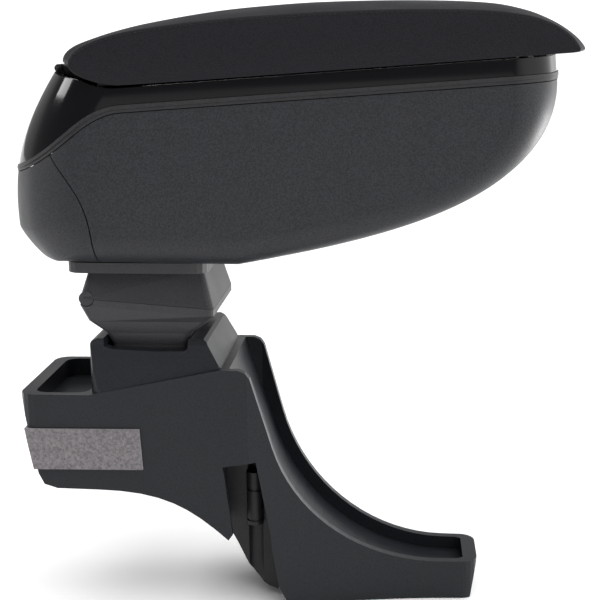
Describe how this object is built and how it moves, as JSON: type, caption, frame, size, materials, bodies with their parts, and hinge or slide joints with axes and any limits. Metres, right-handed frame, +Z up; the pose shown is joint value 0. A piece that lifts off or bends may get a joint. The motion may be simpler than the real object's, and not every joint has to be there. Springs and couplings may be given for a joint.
{
  "type": "car centre armrest",
  "caption": "Car centre armrest: a trayed console base, a tilting neck, a storage box with a gloss rim, and a padded lid that opens and slides.",
  "frame": {"origin": "on the underside of the foot, midway across it, below the front trough's rear half", "axes": "+X to the front of the car, +Y to the car's left, +Z up"},
  "size_m": [0.329, 0.126, 0.3531],
  "materials": {
    "base_plastic": "satin moulded charcoal plastic",
    "dark_plastic": "matt black plastic",
    "neck_plastic": "matt textured charcoal plastic",
    "grained_plastic": "fine-grained charcoal plastic",
    "gloss_black": "polished piano black",
    "trim_grey": "satin grey strip",
    "felt": "grey needle felt",
    "steel": "zinc-plated steel",
    "leatherette": "fine-grained black leatherette",
    "foam": "moulded foam",
    "nylon": "natural nylon",
    "rubber": "soft black rubber"
  },
  "bodies": {
    "base": {"base_body": "base_plastic", "clamp_core": "dark_plastic", "clamp_sleeves": "dark_plastic", "felt_strip": "felt", "neck_lower": "neck_plastic", "lower_bracket": "steel", "neck_bolts": "steel", "neck_nuts": "steel", "tilt_pin": "steel", "friction_washers": "steel"},
    "head": {"neck_upper": "neck_plastic", "upper_bracket": "steel", "bottom_plate": "neck_plastic", "head_bolts": "steel", "head_nuts": "steel", "outer_shell": "grained_plastic", "rear_cover": "grained_plastic", "trim_rim": "trim_grey", "gloss_frame": "gloss_black", "storage_tub": "dark_plastic", "hinge_leaf": "steel", "lid_pin": "steel", "button_spring": "steel"},
    "latch": {"latch_button": "gloss_black"},
    "lid": {"lid_carrier": "dark_plastic", "slide_rails": "steel", "striker": "dark_plastic", "lid_bumpers": "rubber"},
    "cushion": {"cushion_board": "dark_plastic", "cushion_foam": "foam", "cushion_cover": "leatherette", "slide_shoes": "nylon"}
  },
  "joints": [
    {"name": "arm_tilt", "type": "hinge", "parent": "base", "child": "head", "pos_m": [-0.1672, 0, 0.188], "axis": [0, -1, 0], "range_deg": [0, 80]},
    {"name": "lid_open", "type": "hinge", "parent": "head", "child": "lid", "pos_m": [-0.18373, 0, 0.31637], "axis": [0, -1, 0], "range_deg": [0, 75]},
    {"name": "cushion_slide", "type": "slide", "parent": "lid", "child": "cushion", "axis": [0.9973, 0, 0.0732], "range_m": [0, 0.05]},
    {"name": "latch_press", "type": "slide", "parent": "head", "child": "latch", "axis": [-0.9973, 0, -0.0732], "range_m": [0, 0.0025], "stiffness_N_per_m": 1500, "deforming": ["button_spring"]}
  ]
}
